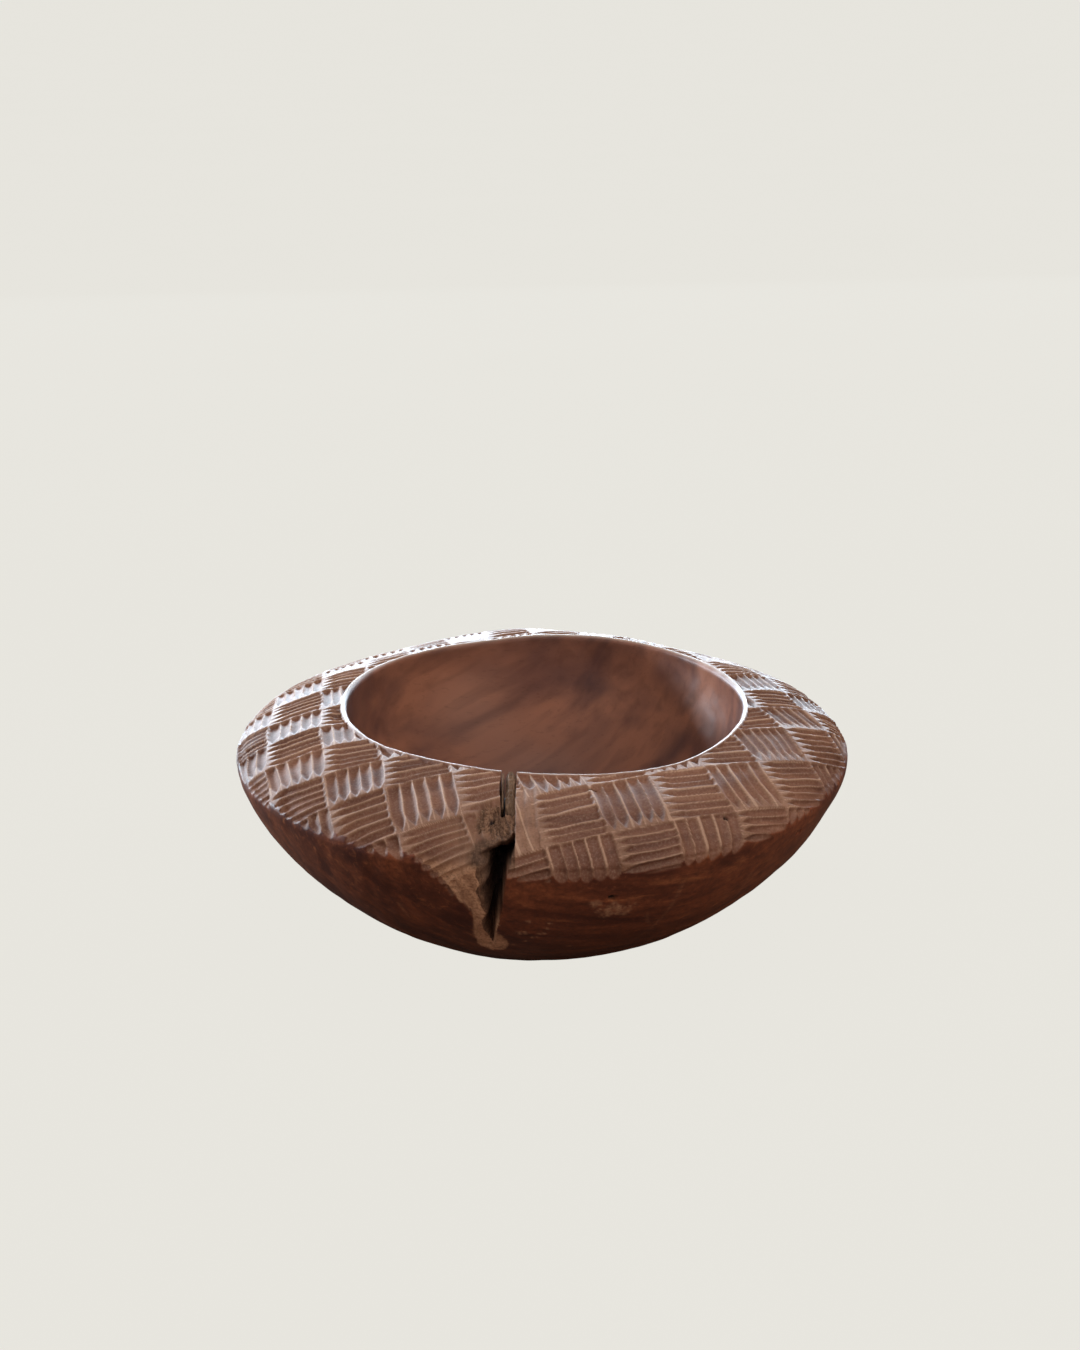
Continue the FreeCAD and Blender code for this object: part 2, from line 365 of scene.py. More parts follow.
def find_flute(across, back):
    """Each point's flute: its run and width, how far along and off its middle, and its own jitter."""
    column, in_column, wide = find_gap(across, COLUMN_LINES)
    row, in_row, long = find_gap(-back, [-line for line in ROW_LINES])
    lengthways = (column + FIRST_COLUMN + row + FIRST_ROW) % 2 == 0
    span = np.where(lengthways, wide, long)
    share = np.where(lengthways, in_column, in_row)
    run = np.where(lengthways, long, wide)
    gone = np.where(lengthways, in_row, 1 - in_column) * run

    per_patch = np.maximum(4, np.round(span / FLUTE_WIDTH)).astype(int)
    # Five random numbers for each flute. No patch has ten flutes, so the tenth set is the patch's own.
    jitter = random.normal(size=(len(COLUMN_LINES), len(ROW_LINES), 10, 5))
    skew = 0.35 * jitter[column, row, 9, 0] / span * (gone / run - 0.5) * 3
    at = np.clip(share + skew, 0, 0.9999) * per_patch
    flute = np.floor(at).astype(int)
    own = jitter[column, row, flute]
    width = span / per_patch
    off = (at - flute - 0.5 + 0.05 * own[..., 4]) * width
    return run, width, gone, off, own


def beside_split(x, y, below):
    """1 on the strip of rim just right of the split, which has two long cuts instead of flutes."""
    strip = smooth(WALL_X - 1, WALL_X, x) * (1 - smooth(-3.5, -0.5, x)) * (y < 0)
    return strip * smooth(-50, -46, below) * (1 - smooth(-13, -9, below))


def flute_wear(x, y, below):
    """1 where the flutes are as deep as new, and less beside the split and at the back."""
    left_of_split = np.exp(-((x + 27) / 13) ** 2) * smooth(-26, -6, below)
    at_back = smooth(15, 90, y)
    return (1 - 0.8 * left_of_split) * (1 - 0.8 * beside_split(x, y, below)) * (1 - 0.45 * at_back)


def carved_depth(x, y, z, radius, below, lift):
    """Depth of the carving, and 0 to 1 masks of the band, the flutes' floors and their ridges."""
    run, width, gone, off, own = find_flute(*weave_place(x, y, z, radius, below, lift))
    start = np.clip(0.25 + 0.3 * own[..., 0], 0.0, 1.2)
    reach = run * (1.05 + 0.02 * own[..., 1])
    deep = FLUTE_DEPTH * (1 + 0.10 * own[..., 2])
    blunt = np.sqrt(smooth(0, 1.6, gone - start))
    # The far end keeps its depth while its sides close in on a point.
    turning = TAPER_START * run
    taper = np.clip(1 - (gone - turning) / (reach - turning), 0, 1)
    along_depth = deep * flute_wear(x, y, below) * blunt * smooth(0, 0.75, taper)
    gutter = along_depth * 1.03 - off ** 2 / (2 * GOUGE_RADIUS * np.maximum(taper ** 2, 0.03))
    gutter = np.minimum(gutter, deep)

    # The band starts behind the plain lip and runs out over the dark wood below the shoulder.
    depth = BAND_RECESS + np.maximum(gutter, two_long_cuts(x, below) * beside_split(x, y, below))
    depth = np.minimum(depth, 3 * smooth(2.4, 3.6, radius - opening_at(x, y)))
    edge = band_edge(x, y, below)
    depth = np.maximum(depth - 0.5 * np.maximum(below - edge, 0), 0)
    # This mask paints pale ridges, which are partly wear and partly a painted highlight.
    ridge_wear_and_highlight = smooth(0.80, 0.99, 2 * np.abs(off) / width) * smooth(0.05, 0.4, deep * blunt * taper)
    ridge_wear_and_highlight = ridge_wear_and_highlight * smooth(0, 4, edge - below)
    return depth, smooth(0.0, 0.3, depth), np.maximum(gutter, 0) / FLUTE_DEPTH, ridge_wear_and_highlight


def opening_at(x, y):
    """Opening radius in the direction of each point."""
    angle = np.arctan2(y, x)
    return 1 / np.hypot(np.cos(angle) / OPENING_X, np.sin(angle) / OPENING_Y)


def two_long_cuts(x, below):
    """Two long shallow cuts that run forwards just right of the split."""
    place = below + LIP_TO_SHOULDER
    first = WALL_X + 2.6 + 0.020 * place
    second = WALL_X + 6.4 + 0.050 * place
    cuts = [0.7 * np.exp(-((x - middle) / 1.3) ** 2) for middle in (first, second)]
    return np.maximum(*cuts)


def band_edge(x, y, below):
    """How far below the shoulder the carved band ends. It runs far down just left of the split."""
    angle = np.degrees(np.arctan2(y, x))
    edge = np.interp(angle, *zip(*BAND_EDGE))
    left = (y < 0) & (x > BARE_LEFT) & (x < hollow_wall(below))
    ragged = 1.6 * np.sin(x / 1.7) * np.sin(x / 0.9 + 1)
    return np.where(left, np.interp(x, *zip(*BARE_EDGE)) + ragged, edge)


# ---------------------------------------------------------------- split
def hollow_wall(below):
    """X of the right wall of the rot hollow, which leans to the left lower down."""
    return WALL_X - np.interp(below + LIP_TO_SHOULDER, VOID_PLACE, VOID_DRIFT)


def left_of_hollow(x, below):
    """How far to the left of the rot hollow a point lies."""
    return hollow_wall(below) - x - np.interp(below + LIP_TO_SHOULDER, VOID_PLACE, VOID_WIDTH)


def split_wall(y, z):
    """X of the split's right wall, nearly straight."""
    wander = 0.35 * np.sin(y / 9) + 0.2 * np.sin(z / 3.1 + 1) + 0.15 * np.sin(y / 2.3)
    return WALL_X + wander * smooth(92, 100, -y)


def slot_points(x, y, z):
    """Which points are in the slot through the lip and the rim."""
    left = SLOT_LEFT + 0.3 * np.sin(y / 4)
    return (x < split_wall(y, z)) & (x > left) & (y > -SLOT_END) & (y < -80) & (z > 88)


def past_void_top(place, across):
    """How far a point lies below the sloping top edge of the rot hollow."""
    return place - VOID_TOP - VOID_TOP_SLOPE * np.clip(across, 0, 1)


def void_depth(x, y, z, below):
    """Depth of the rot hollow, and how far across it a point lies, from 0 at the wall to 1."""
    place = below + LIP_TO_SHOULDER
    width = np.interp(place, VOID_PLACE, VOID_WIDTH)
    deep = np.interp(place, VOID_PLACE, VOID_DEPTH)
    width = width * (1 + 0.07 * np.sin(place / 3.7) + 0.05 * np.sin(place / 1.6))
    wall = split_wall(y, z) + hollow_wall(below) - WALL_X
    across = (wall - x) / np.maximum(width, 0.01)
    inside = (across > 0) & (across < 1) & (width > 0.3)
    slope = (1 - smooth(0.30, 1.0, across)) ** 1.6 * smooth(0, 9, past_void_top(place, across))
    fibre = 1 + 0.16 * ripple(x * 3.2, y * 0.5, z * 0.5, 6, 21)
    return np.where(inside, deep * slope * fibre, 0.0) * (y < 0), np.where(inside, across, 1.5)


def dead_fan(x, y, z, below):
    """Dead wood that fans out left of the hollow: how dead, how far out, and its grooves."""
    fan_x, fan_y = x - FAN_CENTRE[0], y - FAN_CENTRE[1]
    reach = np.hypot(fan_x, fan_y) / FAN_RADIUS + 0.12 * ripple(x, y, z, 7, 31)
    dead = (1 - smooth(0.5, 1.0, reach)) * (y < 0) * (x < WALL_X) * (1 - smooth(-7, -2, below))
    grooves = np.abs(np.sin(np.arctan2(fan_y, fan_x) * 15 + 0.8 * np.sin(reach * 6)))
    return dead, reach, grooves


def cut_split(point, x, y, z, below, facing):
    """Moves the carved points into the slot and the rot hollow. Returns points and masks."""
    front = y < 0
    # The rot hollow.
    deep, across = void_depth(x, y, z, below)
    middle_y, middle_z = VOID_CENTRE
    way = np.stack([x, np.full_like(x, middle_y), np.full_like(x, middle_z)], axis=2) - point
    room = np.linalg.norm(way, axis=2)
    point = point + way / np.maximum(room, 1e-6)[..., None] * np.minimum(deep, room * 0.85)[..., None]

    # The dead wood to its left, which is a little sunk and grooved.
    dead, reach, grooves = dead_fan(x, y, z, below)
    lumps = 0.55 * ripple(x, y, z, 4.5, 33) + 0.35 * ripple(x, y, z, 2.2, 34)
    point = point - facing * (dead * (1.0 + 0.9 * (1 - grooves) + lumps) * (deep < 0.1))[..., None]

    # The slot through the lip and the rim.
    in_slot = slot_points(x, y, z)
    lowered = np.minimum(point[..., 2], SLOT_FLOOR - 0.4 * np.abs(np.sin(x * 3)))
    point[..., 2] = np.where(in_slot, lowered, point[..., 2])

    # The masks: painted shade in the slot, the rot hollow, over the shelf and in the gaps between
    # splinters, and dead and bare wood.
    shaded_shelf = shaded_shelf_mask(x, y, below)
    # The shelf gets half of the full painted shade.
    core = np.maximum(hollow_shade(across, below), 0.50 * shaded_shelf) * front
    # Painted shade in the grooves between the dead wood's splinters.
    splinter_gap_shade = 0.8 * dead * (1 - smooth(0.05, 0.55, grooves)) * (0.6 + 0.5 * ripple(x, y, z, 5, 35))
    shade = np.where(in_slot, 1.0, np.maximum(core, splinter_gap_shade))
    halo = 0.42 * (1 - smooth(0.8, 2.6, reach)) * smooth(-30, -20, below) * (1 - smooth(-4, 2, below))
    weathered = np.maximum(np.clip(dead * 1.2, 0, 1), (across < 1.0) * front)
    weathered = np.maximum(weathered, np.maximum(shaded_shelf, halo * (x < WALL_X)) * front)
    return point, shade, weathered, bare_wood(x, y, z, below)


def shaded_shelf_mask(x, y, below):
    """The edge of the dead wood over the top of the rot hollow: it takes the dead wood's colour, and is
    painted half dark as shade.
    """
    place = below + LIP_TO_SHOULDER
    shaded_shelf = (1 - smooth(1, 6, left_of_hollow(x, below))) * (x < WALL_X) * (y < 0)
    return shaded_shelf * smooth(42, 48, place) * (1 - smooth(56, 62, place))


def hollow_shade(across, below):
    """How dark the rot hollow is: darkest at its right wall."""
    place = below + LIP_TO_SHOULDER
    core = (1 - smooth(0.12, 0.98, across)) ** 0.8
    core = core * smooth(2, 12, np.interp(place, VOID_PLACE, VOID_DEPTH))
    core = core * smooth(1, 7, past_void_top(place, across))
    return np.maximum(core, 0.30 * (1 - smooth(0.75, 1.0, across)))


def bare_wood(x, y, z, below):
    """Pale bare wood left of the rot hollow, round its foot, and down from the carved band."""
    place = below + LIP_TO_SHOULDER
    wide = np.maximum(np.interp(place, BARE_PLACE, BARE_WIDTH), 0.1)
    left = x < hollow_wall(below)
    beside = (1 - smooth(0.75, 1.05, left_of_hollow(x, below) / wide)) * smooth(52, 60, place) * left
    ragged = 1.5 * ripple(x, y, z, 5, 36)
    wrap = smooth(102, 106, place) * smooth(14, 16, -x - 0.3 * np.abs(place - 118) + ragged) * (x > -29)
    wrap = wrap * (1 - smooth(125.5, 128.5, place + 0.6 * ragged + 0.075 * (x + 19) ** 2))
    under_band = smooth(-6, 4, below) * (below < band_edge(x, y, below)) * left
    bare = np.maximum(np.maximum(beside, wrap), under_band)
    return bare * (y < 0) * (x > BARE_LEFT)


# ---------------------------------------------------------------- small marks
def near_marks(table, x, y, z, angle, place, radius):
    """1 at the middle of any mark in the table, 0 outside all of them, with ragged edges."""
    found = np.zeros_like(x)
    ragged = 0.45 * ripple(x, y, z, 3.2, 51)
    for degrees, distance, half_width, half_length in table:
        aside = (angle - math.radians(degrees)) * radius / half_width
        down = (place - distance) / half_length
        found = np.maximum(found, 1 - smooth(0.65, 1.2, np.hypot(aside, down) + ragged))
    return found


def scratches(angle, place, radius):
    """Thin pale curved scratches on the underside."""
    found = np.zeros_like(angle)
    for degrees, first, last, bow in SCRATCHES:
        share = (place - first) / (last - first)
        middle = math.radians(degrees) + bow * share * share
        thin = 1 - smooth(0.3, 1.1, np.abs(angle - middle) * radius)
        found = np.maximum(found, thin * smooth(0, 0.12, share) * (1 - smooth(0.88, 1, share)))
    return found


# ---------------------------------------------------------------- bowl mesh
def bowl_faces(strides):
    """Faces between neighbouring rows. Five-sided faces join rows whose column counts differ."""
    offsets, total = [], 0
    for stride in strides:
        offsets.append(total)
        total += COLUMNS // stride
    faces = []
    for i in range(len(strides) - 1):
        top, bottom = strides[i], strides[i + 1]
        count_top, count_bottom = COLUMNS // top, COLUMNS // bottom
        a, b = offsets[i], offsets[i + 1]
        if top == bottom:
            j = np.arange(count_top)
            k = (j + 1) % count_top
            faces += np.stack([a + j, b + j, b + k, a + k], axis=1).tolist()
        elif bottom > top:
            for j in range(count_bottom):
                k = (j + 1) % count_bottom
                faces.append([a + 2 * j, b + j, b + k, a + (2 * j + 2) % count_top, a + 2 * j + 1])
        else:
            for j in range(count_top):
                k = (j + 1) % count_top
                faces.append([a + j, b + 2 * j, b + 2 * j + 1, b + (2 * j + 2) % count_bottom, a + k])
    first = list(range(offsets[0], offsets[0] + COLUMNS // strides[0]))
    last = list(range(offsets[-1], offsets[-1] + COLUMNS // strides[-1]))
    return faces + [first, last[::-1]]


def add_mask(mesh, name, values):
    """A number on every vertex, for the material."""
    layer = mesh.attributes.new(name, "FLOAT", "POINT")
    layer.data.foreach_set("value", np.ascontiguousarray(values, dtype=np.float32))


def make_object(name, points, faces, masks):
    """A smooth-shaded mesh object, from millimetre points and per-vertex masks."""
    mesh = bpy.data.meshes.new(name)
    mesh.from_pydata((np.asarray(points) * MM).tolist(), [], faces)
    mesh.polygons.foreach_set("use_smooth", np.ones(len(mesh.polygons), dtype=bool))
    for mask, values in masks.items():
        add_mask(mesh, mask, values)
    mesh.update()
    made = bpy.data.objects.new(name, mesh)
    bpy.context.scene.collection.objects.link(made)
    return made


def make_bowl():
    """The whole bowl as one closed mesh."""
    rows = outline_rows()
    x, y, z, radius, angle, below, lift = bowl_grid(rows)
    facing = outward(x, y, z)
    inside, lip = rows_on(rows, [hollow_point]), rows_on(rows, [lip_point])
    band = rows_on(rows, [rim_point, belly_point])
    along_curve = np.array([t for _, t, _ in rows])[:, None]

    depth, carved, gutter, ridge_wear_and_highlight = carved_depth(x, y, z, radius, below, lift)
    hand = 0.35 * ripple(x, y, z, 60, 11) + 0.12 * ripple(x, y, z, 18, 12)
    keep = np.where(inside, smooth(5, 40, radius), smooth(FOOT, FOOT + 25, radius))
    point = np.stack([x, y, z], axis=2) + facing * (hand * keep - depth * band)[..., None]
    point, shade, weathered, bare = cut_split(point, x, y, z, below, facing)

    place = below + LIP_TO_SHOULDER
    # The chips are sunk into the wood and also painted dark as shade.
    chips = near_marks(CHIPS, x, y, z, angle, place, radius) * band
    pale = near_marks(PALE_MARKS, x, y, z, angle, place, radius)
    pale = pale * (0.42 + 0.34 * ripple(x, y, z, 2.5, 52))
    pale = np.maximum(pale, 0.16 * scratches(angle, place, radius))
    point = point - facing * (CHIP_DEPTH * chips)[..., None]

    # The ridge mask is partly wear and partly painted highlight, and the shade mask is painted shade.
    masks = {"carved": carved * band, "gutter": gutter * band, "ridge_wear_and_highlight": ridge_wear_and_highlight * carved * band,
             "shade": np.maximum(shade, chips), "weathered": weathered,
             "bare": np.maximum(bare, pale * band * (1 - chips)), "hollow": inside | lip, "lip": lip,
             # The lip's pale line is partly wear and partly a painted highlight.
             "lip_wear_and_highlight": lip * smooth(0.35, 0.85, along_curve)}
    strides = [stride for _, _, stride in rows]

    def gather(values):
        """The values at the columns that each row keeps."""
        return np.concatenate([row[::stride] for row, stride in zip(values, strides)])

    masks = {name: gather(values) for name, values in masks.items()}
    return make_object("carved_bowl", gather(point), bowl_faces(strides), masks)


# ---------------------------------------------------------------- loose wood in the split
def slab_ring(steps_across, steps_up):
    """Outline of a slab's cross-section, as (share of its thickness, share of its height)."""
    ring = [(i / steps_across, 1.0) for i in range(steps_across)]
    ring += [(1.0, 1 - i / steps_up) for i in range(steps_up)]
    ring += [(1 - i / steps_across, 0.0) for i in range(steps_across)]
    ring += [(0.0, i / steps_up) for i in range(steps_up)]
    return np.array(ring)


def tube_faces(rings, count):
    """Faces of a closed tube made of several rings of count points."""
    faces = [[a * count + b, a * count + (b + 1) % count, (a + 1) * count + (b + 1) % count,
              (a + 1) * count + b] for a in range(rings - 1) for b in range(count)]
    return faces + [list(range(count))[::-1], list(range((rings - 1) * count, rings * count))]


def make_slab(name, right, thick, profile, seed, fibre):
    """A thin upright piece of torn wood with fibres along Y, as a closed mesh."""
    profile = np.array(profile, float)
    front = np.linspace(profile[0, 0], profile[-1, 0], SLAB_RINGS)
    top = np.interp(-front, -profile[:, 0], profile[:, 1])
    top = top + 0.35 * np.sin(front * 1.7 + seed) + 0.2 * np.sin(front * 4.1)
    ring = slab_ring(14, 26)
    side = ring[:, 0][None] * np.ones((SLAB_RINGS, 1))
    up = ring[:, 1][None] * np.ones((SLAB_RINGS, 1))
    crown = 1 - 0.22 * (2 * side - 1) ** 2 * up
    y = -front[:, None] + 0 * side
    z = SLOT_FLOOR + up * top[:, None] * crown
    x = right - thick * (1 - side)
    picks = np.random.default_rng(seed)
    groove = sum(np.abs(np.sin(side * math.pi * rate + picks.uniform(0, 6) + 0.05 * y))
                 for rate in (3.1, 5.3)) / 2
    z = z - fibre * (1 - groove) * (up > 0.9)
    x = x + 0.25 * fibre * ripple(x, y * 0.2, z, 3, seed) * (up < 0.95) * np.where(side > 0.5, -1, 1)
    points = np.stack([x, y, z], axis=2).reshape(-1, 3)
    shade = np.clip(1 - up, 0, 1).reshape(-1) * 0.9
    return make_object(name, points, tube_faces(SLAB_RINGS, len(ring)), {"shade": shade})


# ---------------------------------------------------------------- materials
class Nodes:
    """Short calls for building a material's node tree."""

    def __init__(self, name):
        self.material = bpy.data.materials.new(name)
        self.material.use_nodes = True
        self.tree = self.material.node_tree
        self.shader = self.tree.nodes["Principled BSDF"]
        self.position = self.new("ShaderNodeTexCoord").outputs["Object"]

    def new(self, kind, **settings):
        """A new node with its settings."""
        node = self.tree.nodes.new(kind)
        for name, value in settings.items():
            setattr(node, name, value)
        return node

    def join(self, source, target):
        """Feeds an input from another socket or with a constant."""
        if isinstance(source, bpy.types.NodeSocket):
            self.tree.links.new(source, target)
        else:
            target.default_value = source

    def mask(self, name):
        """A number that the mesh carries on its vertices."""
        return self.new("ShaderNodeAttribute", attribute_name=name).outputs["Fac"]

    def stretch(self, scale, turn=(0, 0, 0)):
        """Positions turned and then scaled along each axis, for noise that follows the grain."""
        node = self.new("ShaderNodeMapping", vector_type="TEXTURE")
        node.inputs["Scale"].default_value = [1 / part for part in scale]
        node.inputs["Rotation"].default_value = turn
        self.join(self.position, node.inputs["Vector"])
        return node.outputs["Vector"]

    def noise(self, vector, scale, detail=4.0, rough=0.55, bend=0.0):
        """Smooth noise, about 0.3 to 0.7."""
        node = self.new("ShaderNodeTexNoise")
        self.join(vector, node.inputs["Vector"])
        node.inputs["Scale"].default_value = scale
        node.inputs["Detail"].default_value = detail
        node.inputs["Roughness"].default_value = rough
        node.inputs["Distortion"].default_value = bend
        return node.outputs["Fac"]

    def spread(self, value, low, high, to_low=0.0, to_high=1.0):
        """The value with the range low to high spread over another range, and held at its ends."""
        node = self.new("ShaderNodeMapRange", clamp=True)
        for name, number in (("Value", value), ("From Min", low), ("From Max", high),
                             ("To Min", to_low), ("To Max", to_high)):
            self.join(number, node.inputs[name])
        return node.outputs["Result"]

    def calc(self, kind, a, b):
        """Arithmetic on two numbers."""
        node = self.new("ShaderNodeMath", operation=kind)
        self.join(a, node.inputs[0])
        self.join(b, node.inputs[1])
        return node.outputs["Value"]

    def blend(self, share, a, b):
        """Colour a where the share is 0, and b where it is 1."""
        node = self.new("ShaderNodeMix", data_type="RGBA")
        self.join(share, node.inputs["Factor"])
        for value, name in ((a, "A"), (b, "B")):
            socket = next(s for s in node.inputs if s.name == name and s.type == "RGBA")
            self.join(value if isinstance(value, bpy.types.NodeSocket) else (*value, 1.0), socket)
        return next(s for s in node.outputs if s.type == "RGBA")

    def fleck(self, base, value, low, high, most, colour):
        """Lays a colour over the base, from none where the value is low to most where it is high."""
        return self.blend(self.spread(value, low, high, 0.0, most), base, colour)

    def finish(self, colour, rough, bump=None, bump_strength=0.3, bump_depth=0.0004):
        """Feeds the shader and returns the material."""
        self.join(colour, self.shader.inputs["Base Color"])
        self.join(rough, self.shader.inputs["Roughness"])
        if bump is not None:
            node = self.new("ShaderNodeBump")
            node.inputs["Strength"].default_value = bump_strength
            node.inputs["Distance"].default_value = bump_depth
            self.join(bump, node.inputs["Height"])
            self.join(node.outputs["Normal"], self.shader.inputs["Normal"])
        return self.material


class BlockWood(Nodes):
    """A material with the grain that all the woods of the bowl share."""

    def __init__(self, name):
        super().__init__(name)
        self.streak = self.noise(self.stretch((9, 75, 50), GRAIN), 1.0, 6, 0.6, 0.9)
        self.lines = self.noise(self.stretch((22, 260, 170), GRAIN), 1.0, 5, 0.65, 0.7)
        self.cloud = self.noise(self.stretch((7, 18, 14), GRAIN), 1.0, 3, 0.5, 0.8)
        self.pores = self.noise(self.stretch((160, 900, 900), GRAIN), 1.0, 2, 0.5)
        self.grit = self.noise(self.position, 900.0, 3, 0.65)
        self.mottle = self.noise(self.position, 420.0, 5, 0.7)
        self.figure = self.spread(self.layer(self.streak, self.cloud, 0.8), 0.74, 1.05)

    def layer(self, value, added, share):
        """One value with a share of another one added."""
        return self.calc("ADD", value, self.calc("MULTIPLY", added, share))


def hollow_colour(n):
    """Polished hollow, warmer and lighter up its wall, with a pale line round the lip that is partly wear
    and partly a painted highlight.
    """
    level = n.new("ShaderNodeSeparateXYZ")
    n.join(n.position, level.inputs["Vector"])
    up_wall = n.spread(level.outputs["Z"], 0.030, 0.095)
    dark = n.blend(up_wall, (0.056, 0.025, 0.022), (0.092, 0.042, 0.036))
    light = n.blend(up_wall, (0.152, 0.060, 0.037), (0.272, 0.111, 0.066))
    swathe = n.noise(n.stretch((6, 42, 38), HOLLOW_GRAIN), 1.0, 3, 0.5, 0.5)
    strands = n.noise(n.stretch((10, 150, 120), HOLLOW_GRAIN), 1.0, 3, 0.5, 0.4)
    colour = n.blend(n.spread(n.layer(swathe, n.cloud, 0.6), 0.62, 0.98), dark, light)
    colour = n.fleck(colour, strands, 0.48, 0.72, 0.38, (0.055, 0.023, 0.019))
    # The pale line round the lip is partly wear and partly a painted highlight.
    return n.blend(n.calc("MULTIPLY", n.mask("lip_wear_and_highlight"), 0.8), colour, (0.42, 0.31, 0.25))


def underside_colour(n):
    """Dark red-brown oiled wood with darker and lighter grain lines."""
    colour = n.blend(n.figure, (0.066, 0.015, 0.009), (0.222, 0.064, 0.027))
    colour = n.fleck(colour, n.lines, 0.50, 0.66, 0.55, (0.038, 0.009, 0.006))
    colour = n.fleck(colour, n.lines, 0.44, 0.30, 0.65, (0.37, 0.130, 0.052))
    colour = n.fleck(colour, n.mottle, 0.42, 0.66, 0.5, (0.034, 0.008, 0.005))
    return n.fleck(colour, n.mottle, 0.40, 0.28, 0.4, (0.30, 0.115, 0.060))


def carved_colour(n):
    """Dry carved band: painted shade darkens the flutes' floors, and the ridges between them are pale,
    partly from wear and partly as a painted highlight.
    """
    floor = n.blend(n.figure, (0.112, 0.045, 0.028), (0.200, 0.088, 0.053))
    flat = n.blend(n.figure, (0.190, 0.093, 0.057), (0.265, 0.139, 0.087))
    pale = n.blend(n.figure, (0.34, 0.205, 0.138), (0.43, 0.27, 0.185))
    # Painted shade: the deeper a flute's floor lies, the darker its colour.
    colour = n.blend(n.spread(n.mask("gutter"), 0.05, 0.75), flat, floor)
    # Pale ridges: partly wear, partly a painted highlight.
    colour = n.fleck(colour, n.mask("ridge_wear_and_highlight"), 0.1, 0.9, 0.85, pale)
    colour = n.fleck(colour, n.grit, 0.50, 0.68, 0.30, (0.33, 0.205, 0.15))
    return n.fleck(colour, n.grit, 0.46, 0.32, 0.34, (0.075, 0.032, 0.020))


def bare_colour(n):
    """Pale bare wood where the skin has come off."""
    colour = n.blend(n.spread(n.streak, 0.35, 0.65), (0.43, 0.230, 0.136), (0.68, 0.400, 0.250))
    colour = n.fleck(colour, n.grit, 0.48, 0.62, 0.55, (0.24, 0.12, 0.068))
    return n.fleck(colour, n.mottle, 0.47, 0.62, 0.55, (0.20, 0.095, 0.054))


def dead_colour(n):
    """Grey-brown dead wood with fine fibres."""
    fibre = n.noise(n.stretch((420, 60, 60)), 1.0, 5, 0.65, 0.4)
    colour = n.blend(n.spread(fibre, 0.35, 0.65), (0.060, 0.031, 0.019), (0.240, 0.128, 0.078))
    colour = n.fleck(colour, n.grit, 0.50, 0.64, 0.50, (0.050, 0.028, 0.018))
    return n.fleck(colour, n.grit, 0.47, 0.36, 0.35, (0.36, 0.21, 0.13))


def bowl_roughness(n, carved, hollow, dry, shade):
    """Polished in the hollow, satin on the skin and the lip, and dull on dry wood and where shade is
    painted.
    """
    not_polished = n.calc("MAXIMUM", n.calc("SUBTRACT", 1.0, hollow), n.mask("lip"))
    rough = n.layer(n.spread(n.cloud, 0.35, 0.7, 0.28, 0.38), not_polished, 0.17)
    for mask, added in ((carved, 0.13), (dry, 0.35), (shade, 0.45)):
        rough = n.layer(rough, mask, added)
    return rough


def bowl_material():
    """Oiled hardwood: satin carved band, polished hollow and underside, bare and rotten wood."""
    n = BlockWood("bowl_wood")
    carved, hollow, shade = n.mask("carved"), n.mask("hollow"), n.mask("shade")
    weathered, bare = n.mask("weathered"), n.mask("bare")
    skin = n.blend(hollow, underside_colour(n), hollow_colour(n))
    skin = n.blend(carved, skin, carved_colour(n))
    skin = n.blend(bare, skin, bare_colour(n))
    skin = n.blend(weathered, skin, dead_colour(n))
    skin = n.blend(n.spread(shade, 0.05, 0.95), skin, (0.026, 0.016, 0.014))
    skin = n.fleck(skin, n.pores, 0.60, 0.72, 0.18, (0.02, 0.009, 0.006))
    rough = bowl_roughness(n, carved, hollow, n.calc("MAXIMUM", weathered, bare), shade)
    height = n.layer(n.calc("MULTIPLY", n.streak, 0.5), n.grit, 0.5)
    n.shader.inputs["Specular IOR Level"].default_value = 0.4
    return n.finish(skin, rough, height, 0.25, 0.0003)


def dead_wood_material(name, dark, light):
    """Grey-brown dry fibrous wood, with painted shade making it darker low down in the split."""
    n = Nodes(name)
    fibre = n.noise(n.stretch((900, 90, 300)), 1.0, 5, 0.65, 0.5)
    cloud = n.noise(n.stretch((120, 60, 60)), 1.0, 3)
    colour = n.blend(n.spread(fibre, 0.35, 0.65), dark, light)
    colour = n.blend(n.spread(cloud, 0.45, 0.7, 0.0, 0.5), colour, dark)
    colour = n.blend(n.spread(n.mask("shade"), 0.3, 0.9), colour, (0.01, 0.007, 0.005))
    n.shader.inputs["Specular IOR Level"].default_value = 0.15
    return n.finish(colour, n.spread(fibre, 0.3, 0.7, 0.9, 0.75), fibre, 0.6, 0.0006)


def floor_material():
    """A pale studio sweep. It looks evenly lit, and throws only a little light back at the bowl."""
    n = Nodes("pale_floor")
    seen = n.blend(n.noise(n.position, 3.0, 3), (0.798, 0.782, 0.729), (0.806, 0.790, 0.737))
    bounced = (0.17, 0.105, 0.078)
    rays = n.new("ShaderNodeLightPath").outputs["Is Camera Ray"]
    n.finish(n.blend(rays, bounced, seen), 0.8)
    n.shader.inputs["Specular IOR Level"].default_value = 0.0
    glow = n.new("ShaderNodeEmission")
    n.join(seen, glow.inputs["Color"])
    # The small rest keeps a trace of the real light and shadow on the floor.
    glow_share = 0.992
    mix = n.new("ShaderNodeMixShader")
    n.join(n.calc("MULTIPLY", rays, glow_share), mix.inputs[0])
    n.join(n.shader.outputs["BSDF"], mix.inputs[1])
    n.join(glow.outputs["Emission"], mix.inputs[2])
    n.join(mix.outputs["Shader"], n.tree.nodes["Material Output"].inputs["Surface"])
    return n.material


